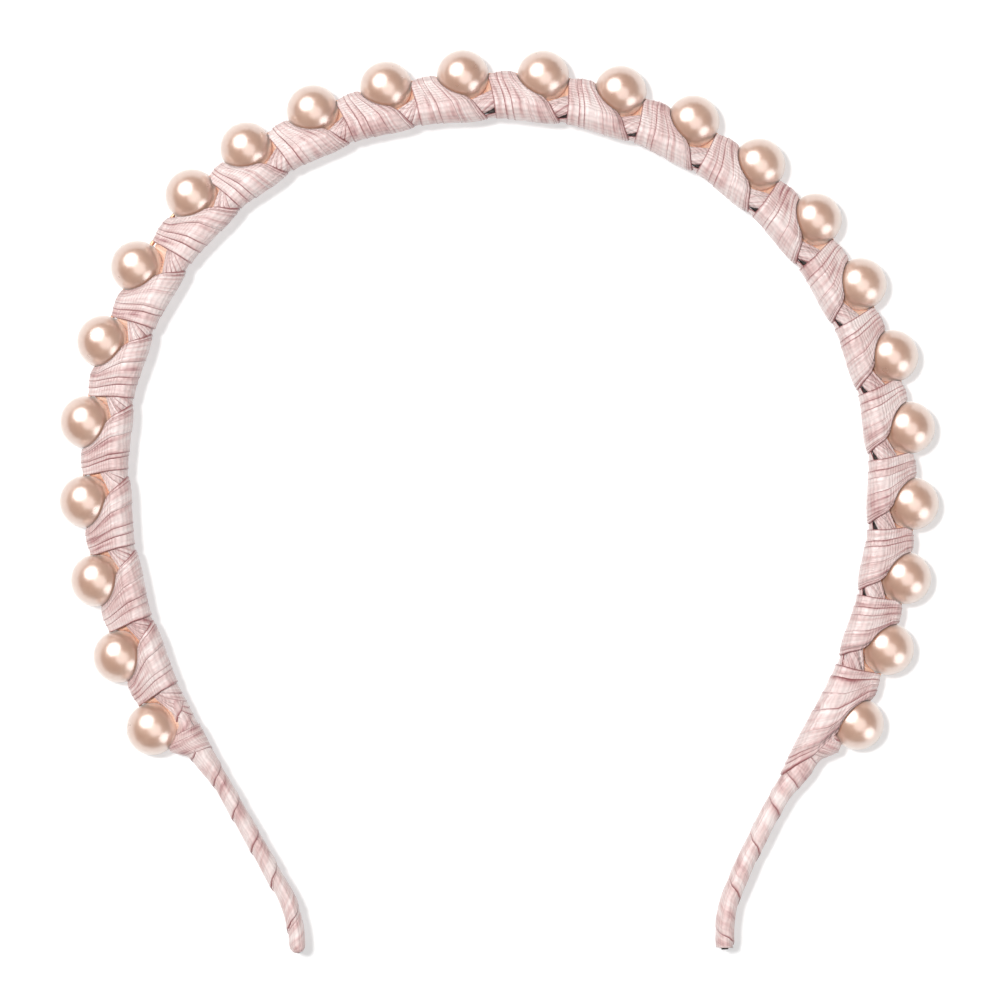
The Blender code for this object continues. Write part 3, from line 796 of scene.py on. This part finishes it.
def make_left_leg():
    """The slender leg: two windings, one over the other, folded shut at the tip, and a cuff at pearl 1."""
    start, tip = PEARL_S[0], -0.45 * MM
    knots = (
        (tip, LEFT_LEG_SECTION), (start - 12 * MM, LEFT_LEG_SECTION),
        (start - 7.5 * MM, SHOULDER_SECTION), (start - 6.4 * MM, SHOULDER_SECTION),
        (start - 4.4 * MM, CUFF_SECTION), (start - 3.4 * MM, CUFF_SECTION),
        (start - 1.5 * MM, FLAT_SECTION), (start + 2 * MM, FLAT_SECTION),
    )
    crossings = np.array((-6.0, 0.5, 5.5, 11.0, 17.0, 22.5, 29.5, 37.5, 45.0)) * MM
    slivers = crossings + np.array((-0.2, -1.2, -0.7, -1.4, -0.3, -1.1, -0.2, -1.3, -0.5)) * MM
    grids = [
        leg_core_cover(start + 1 * MM, tip, knots, closed=True),
        leg_winding(
            start, tip, knots, slivers + 1.4 * MM, width=8.3 * MM, lean=0.34, height=0.02 * MM,
            flare=0.12 * MM, bow=0.03 * MM, closed=True, phase=7.0,
        ),
        leg_winding(
            start, tip, knots, crossings, width=8.5 * MM, lean=0.34, height=0.12 * MM,
            flare=0.22 * MM, bow=0.05 * MM, closed=True, phase=31.0,
        ),
    ]
    for along, width in ((-4.4, 2.4), (-3.5, 2.6)):
        band = start + along * MM + np.array((-1, 1)) * width * MM / 2
        grids.append(cuff_turn(band + np.array((-1.4, -0.6)) * MM, band, knots, 0.34 * MM))
    piece = make_piece("wound_left_leg", *join_grids(grids), PINK)
    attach(piece, "left_leg")
    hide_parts("left_leg_wrap")


def make_right_leg():
    """The thicker leg: two looser windings, open at the tip around the core's end, and a cuff at pearl 24."""
    start, tip = PEARL_S[-1], TIP_S - 0.2 * MM
    knots = (
        (start - 1 * MM, FLAT_SECTION), (start + 1.5 * MM, FLAT_SECTION),
        (start + 3.6 * MM, CUFF_SECTION), (start + 5.2 * MM, CUFF_SECTION),
        (start + 7.5 * MM, SHOULDER_SECTION), (start + 10 * MM, SHOULDER_SECTION),
        (start + 15 * MM, RIGHT_LEG_SECTION), (TIP_S, RIGHT_LEG_SECTION),
    )
    crossings = np.array((-6.0, 2.0, 6.5, 11.0, 17.0, 24.5, 32.0, 39.5, 47.0)) * MM
    slivers = crossings + np.array((-0.2, -1.2, -0.7, -1.4, -0.9, -0.1, -1.2, -0.3, -0.5)) * MM
    grids = [
        leg_core_cover(start - 1 * MM, tip, knots, closed=False),
        leg_winding(
            start, tip, knots, slivers + 1.2 * MM, width=8.4 * MM, lean=0.24, height=0.02 * MM,
            flare=0.14 * MM, bow=0.03 * MM, closed=False, phase=11.0,
        ),
        leg_winding(
            start, tip, knots, crossings, width=9.0 * MM, lean=0.24, height=0.14 * MM,
            flare=0.26 * MM, bow=0.16 * MM, closed=False, phase=23.0,
        ),
    ]
    for along, width in ((3.6, 2.9), (4.6, 2.5), (5.4, 2.1)):
        band = start + along * MM + np.array((-1, 1)) * width * MM / 2
        grids.append(cuff_turn(band + np.array((0.8, 1.6)) * MM, band, knots, 0.3 * MM))
    piece = make_piece("wound_right_leg", *join_grids(grids), PINK)
    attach(piece, "right_leg")
    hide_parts("right_leg_wrap")


# ---------------------------------------------------------------- scene

def make_table():
    """A flat top just below the band's lowest ribbon, reaching far past the picture."""
    size = 2.0
    corners = [(-size, -size, 0), (size, -size, 0), (size, size, 0), (-size, size, 0)]
    mesh = bpy.data.meshes.new("table")
    mesh.from_pydata(corners, [], [(0, 1, 2, 3)])
    mesh.materials.append(white_table("matt_white_table"))
    table = add_object("table", mesh)
    table.location.z = -0.02 * MM


def aim_at_origin(obj):
    """Turn a light to shine from its place towards the middle of the table."""
    obj.rotation_euler = (-obj.location).to_track_quat("-Z", "Y").to_euler()


def add_key_sun():
    """The one light that shades and casts shadows: a sun high up, a little to the upper left."""
    sun = bpy.data.lights.new("key_sun", "SUN")
    sun.energy = 2.6
    sun.angle = math.radians(7)
    key = add_object("key_sun", sun)
    key.location = (-0.22, 0.13, 1.0)
    aim_at_origin(key)
    key.visible_glossy = False


def add_reflected_light(name, location, size, power):
    """An oval light that shows only as a gloss in what mirrors it; the key light does the shading."""
    light = bpy.data.lights.new(name, "AREA")
    light.shape = "ELLIPSE"
    light.size, light.size_y = size
    light.energy = power
    obj = add_object(name, light)
    obj.location = location
    aim_at_origin(obj)
    obj.visible_diffuse = False
    obj.visible_camera = False


def make_sky():
    """A dim grey room, darkest a little above the table's level and brightest overhead."""
    world = bpy.data.worlds.new("studio")
    bpy.context.scene.world = world
    world.use_nodes = True
    tree = world.node_tree
    background = tree.nodes["Background"]
    direction = add_node(tree, "ShaderNodeTexCoord").outputs["Generated"]
    up = add_node(tree, "ShaderNodeSeparateXYZ", i0=direction).outputs["Z"]
    stops = ((0.0, grey(0.40)), (0.25, grey(0.34)), (0.80, grey(0.44)), (1.0, grey(0.50)))
    sky = add_node(tree, "ShaderNodeValToRGB", stops=stops, i0=up)
    tree.links.new(sky.outputs["Color"], background.inputs["Color"])
    background.inputs["Strength"].default_value = 0.62


def light_scene():
    """A sun for light and shadow, and three oval lights where the highlights on the pearls ask for them."""
    add_key_sun()
    add_reflected_light("soft_box", location=(-0.46, 0.52, 0.72), size=(1.1, 1.1), power=10.5)
    add_reflected_light("overhead_panel", location=(0.20, -0.10, 1.10), size=(1.2, 1.2), power=4.4)
    add_reflected_light("low_panel", location=(0.66, -0.54, 0.34), size=(0.66, 0.80), power=3.2)
    make_sky()


def make_camera():
    """Straight above the band, far off, the crown up; 152 mm of its middle plane fills the picture."""
    lens_height = 1.6
    view_width = 152 * MM
    view_middle_x = 0.1 * MM
    camera = bpy.data.cameras.new("camera")
    camera.sensor_width = 36.0
    camera.lens = camera.sensor_width * (lens_height - MIDDLE_Z) / view_width
    obj = add_object("camera", camera)
    obj.location = (view_middle_x, 0.0, lens_height)
    bpy.context.scene.camera = obj


def finish_core_and_wire():
    """The metal of the CAD's own core and wire lengths, whose shapes stay as they are."""
    for name, node in frame["nodes"].items():
        if name.startswith(("core_", "wire_")):
            node.data.materials.clear()
            node.data.materials.append(WIRE_PEACH_GLOW if name.startswith("wire_") else STEEL)


make_pearls()
make_sleeves()
for gap in range(1, PEARL_COUNT):
    make_gap_ribbon(gap)
make_left_leg()
make_right_leg()
finish_core_and_wire()
make_table()
light_scene()
make_camera()
bpy.context.scene.view_settings.view_transform = "Standard"
